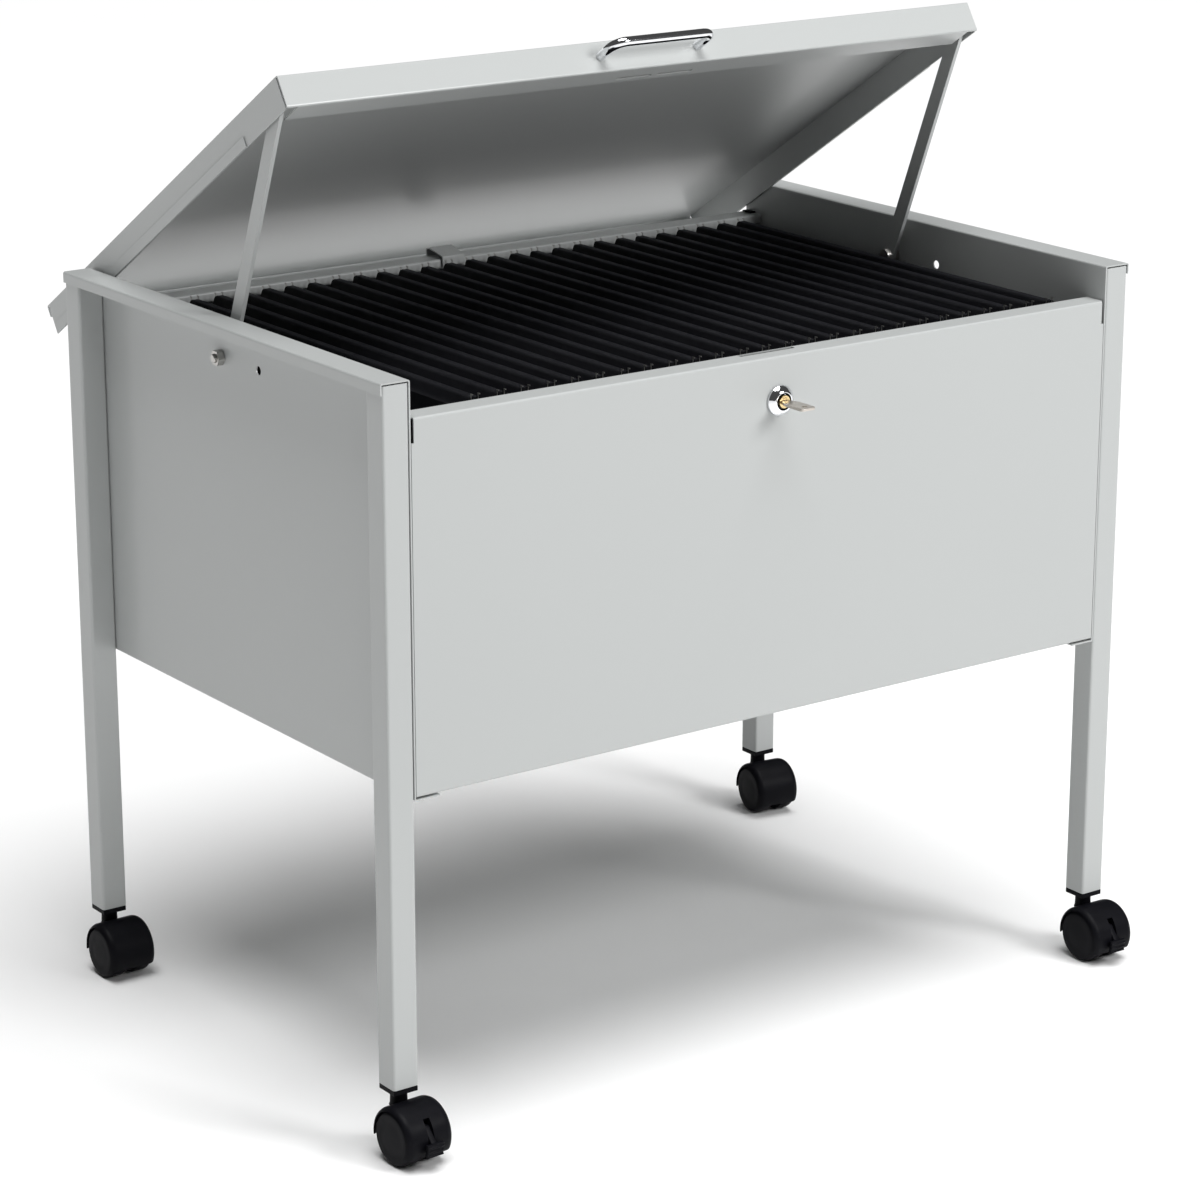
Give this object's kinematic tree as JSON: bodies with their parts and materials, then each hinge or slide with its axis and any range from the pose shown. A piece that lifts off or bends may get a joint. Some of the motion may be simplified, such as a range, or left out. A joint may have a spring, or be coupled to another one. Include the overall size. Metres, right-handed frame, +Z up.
{
  "type": "suspension file trolley",
  "caption": "Mobile sheet-steel trolley for hanging files on square tube legs with twin-wheel casters and a lockable lifting lid on sliding stays.",
  "frame": {"origin": "on the floor, under the middle of the object's box, lid open", "axes": "+Z up, -Y towards the front with the lock, +X towards the right seen from the front"},
  "size_m": [0.6684, 0.5384, 0.7252],
  "materials": {
    "paint": "light grey semi-gloss powder coat",
    "black_plastic": "moulded, slightly glossy black",
    "zinc_steel": "bright zinc plate",
    "chrome": "polished chrome",
    "brass": "plain brass lock core",
    "folder_card": "black folder card"
  },
  "bodies": {
    "case": {"leg_front_left": "paint", "leg_front_right": "paint", "leg_back_left": "paint", "leg_back_right": "paint", "side_panel_left": "paint", "side_panel_right": "paint", "front_panel": "paint", "rear_panel": "paint", "bottom_panel": "paint", "rear_clip": "paint", "lid_glide_left": "black_plastic", "lid_glide_right": "black_plastic", "suspension_files": "folder_card", "lock_housing": "chrome", "lock_nut": "zinc_steel", "leg_plug_front_left": "black_plastic", "leg_plug_front_right": "black_plastic", "leg_plug_back_left": "black_plastic", "leg_plug_back_right": "black_plastic", "caster_stem_front_left": "zinc_steel", "caster_stem_front_right": "zinc_steel", "caster_stem_back_left": "zinc_steel", "caster_stem_back_right": "zinc_steel"},
    "stay_bolt_left_body": {"stay_bolt_left": "zinc_steel", "stay_nut_left": "zinc_steel"},
    "stay_bolt_right_body": {"stay_bolt_right": "zinc_steel", "stay_nut_right": "zinc_steel"},
    "stay_left_body": {"stay_left": "paint"},
    "stay_right_body": {"stay_right": "paint"},
    "lid_body": {"lid": "paint", "lid_strip_left": "paint", "lid_strip_right": "paint", "lid_stud_left": "zinc_steel", "lid_stud_right": "zinc_steel", "lid_handle": "chrome"},
    "lock_core": {"lock_plug": "brass", "lock_cam": "zinc_steel"},
    "key_body": {"key": "zinc_steel"},
    "caster_front_left": {"caster_hood_front_left": "black_plastic", "caster_axle_front_left": "zinc_steel", "brake_pin_front_left": "zinc_steel"},
    "wheel_front_left_a": {"wheel_front_left_a": "black_plastic"},
    "wheel_front_left_b": {"wheel_front_left_b": "black_plastic"},
    "brake_front_left": {"brake_lever_front_left": "black_plastic"},
    "caster_front_right": {"caster_hood_front_right": "black_plastic", "caster_axle_front_right": "zinc_steel", "brake_pin_front_right": "zinc_steel"},
    "wheel_front_right_a": {"wheel_front_right_a": "black_plastic"},
    "wheel_front_right_b": {"wheel_front_right_b": "black_plastic"},
    "brake_front_right": {"brake_lever_front_right": "black_plastic"},
    "caster_back_left": {"caster_hood_back_left": "black_plastic", "caster_axle_back_left": "zinc_steel"},
    "wheel_back_left_a": {"wheel_back_left_a": "black_plastic"},
    "wheel_back_left_b": {"wheel_back_left_b": "black_plastic"},
    "caster_back_right": {"caster_hood_back_right": "black_plastic", "caster_axle_back_right": "zinc_steel"},
    "wheel_back_right_a": {"wheel_back_right_a": "black_plastic"},
    "wheel_back_right_b": {"wheel_back_right_b": "black_plastic"}
  },
  "joints": [
    {"name": "stay_left_hinge", "type": "hinge", "parent": "case", "child": "stay_bolt_left_body", "pos_m": [-0.3044, 0.00464, 0.5132], "axis": [1, 0, 0], "range_deg": [0, 63.45]},
    {"name": "stay_left_slide", "type": "slide", "parent": "stay_bolt_left_body", "child": "stay_left_body", "axis": [0, -0.3718, 0.9283], "range_m": [0, 0.02368]},
    {"name": "lid_hinge", "type": "hinge", "parent": "stay_left_body", "child": "lid_body", "pos_m": [-0.3044, -0.07143, 0.70315], "axis": [1, 0, 0], "range_deg": [-31.17, 0]},
    {"name": "stay_right_hinge", "type": "hinge", "parent": "case", "child": "stay_bolt_right_body", "pos_m": [0.304, 0.00464, 0.5132], "axis": [1, 0, 0], "range_deg": [0, 63.45]},
    {"name": "stay_right_slide", "type": "slide", "parent": "stay_bolt_right_body", "child": "stay_right_body", "axis": [0, -0.3718, 0.9283], "range_m": [0, 0.02368]},
    {"name": "lock_turn", "type": "hinge", "parent": "case", "child": "lock_core", "pos_m": [-0.0002, -0.23536, 0.4867], "axis": [0, 1, 0], "range_deg": [0, 90]},
    {"name": "key_pull", "type": "slide", "parent": "lock_core", "child": "key_body", "axis": [0, -1, 0], "range_m": [0, 0.03]},
    {"name": "swivel_front_left", "type": "hinge", "parent": "case", "child": "caster_front_left", "pos_m": [-0.3152, -0.22536, 0.045], "axis": [0, 0, 1], "continuous": true},
    {"name": "roll_front_left_a", "type": "hinge", "parent": "caster_front_left", "child": "wheel_front_left_a", "pos_m": [-0.31439, -0.24084, 0.02], "axis": [0.9986, 0.0523, 0], "continuous": true},
    {"name": "roll_front_left_b", "type": "hinge", "parent": "caster_front_left", "child": "wheel_front_left_b", "pos_m": [-0.31439, -0.24084, 0.02], "axis": [0.9986, 0.0523, 0], "continuous": true},
    {"name": "brake_turn_front_left", "type": "hinge", "parent": "caster_front_left", "child": "brake_front_left", "pos_m": [-0.31361, -0.25565, 0.02723], "axis": [-0.9986, -0.0523, 0], "range_deg": [0, 8]},
    {"name": "swivel_front_right", "type": "hinge", "parent": "case", "child": "caster_front_right", "pos_m": [0.3148, -0.22536, 0.045], "axis": [0, 0, 1], "continuous": true},
    {"name": "roll_front_right_a", "type": "hinge", "parent": "caster_front_right", "child": "wheel_front_right_a", "pos_m": [0.31439, -0.24086, 0.02], "axis": [0.9997, -0.0262, 0], "continuous": true},
    {"name": "roll_front_right_b", "type": "hinge", "parent": "caster_front_right", "child": "wheel_front_right_b", "pos_m": [0.31439, -0.24086, 0.02], "axis": [0.9997, -0.0262, 0], "continuous": true},
    {"name": "brake_turn_front_right", "type": "hinge", "parent": "caster_front_right", "child": "brake_front_right", "pos_m": [0.314, -0.25568, 0.02723], "axis": [-0.9997, 0.0262, 0], "range_deg": [0, 8]},
    {"name": "swivel_back_left", "type": "hinge", "parent": "case", "child": "caster_back_left", "pos_m": [-0.3152, 0.18464, 0.045], "axis": [0, 0, 1], "continuous": true},
    {"name": "roll_back_left_a", "type": "hinge", "parent": "caster_back_left", "child": "wheel_back_left_a", "pos_m": [-0.31507, 0.16914, 0.02], "axis": [1, 0.0087, 0], "continuous": true},
    {"name": "roll_back_left_b", "type": "hinge", "parent": "caster_back_left", "child": "wheel_back_left_b", "pos_m": [-0.31507, 0.16914, 0.02], "axis": [1, 0.0087, 0], "continuous": true},
    {"name": "swivel_back_right", "type": "hinge", "parent": "case", "child": "caster_back_right", "pos_m": [0.3148, 0.18464, 0.045], "axis": [0, 0, 1], "continuous": true},
    {"name": "roll_back_right_a", "type": "hinge", "parent": "caster_back_right", "child": "wheel_back_right_a", "pos_m": [0.31277, 0.16927, 0.02], "axis": [0.9914, -0.1305, 0], "continuous": true},
    {"name": "roll_back_right_b", "type": "hinge", "parent": "caster_back_right", "child": "wheel_back_right_b", "pos_m": [0.31277, 0.16927, 0.02], "axis": [0.9914, -0.1305, 0], "continuous": true}
  ],
  "couplings": [
    {"joint": "stay_left_slide", "follows": "stay_left_hinge", "m_per_rad": 0.021369},
    {"joint": "lid_hinge", "follows": "stay_left_hinge", "ratio": -0.49094},
    {"joint": "stay_right_hinge", "follows": "stay_left_hinge", "ratio": 1},
    {"joint": "stay_right_slide", "follows": "stay_left_hinge", "m_per_rad": 0.021369}
  ]
}
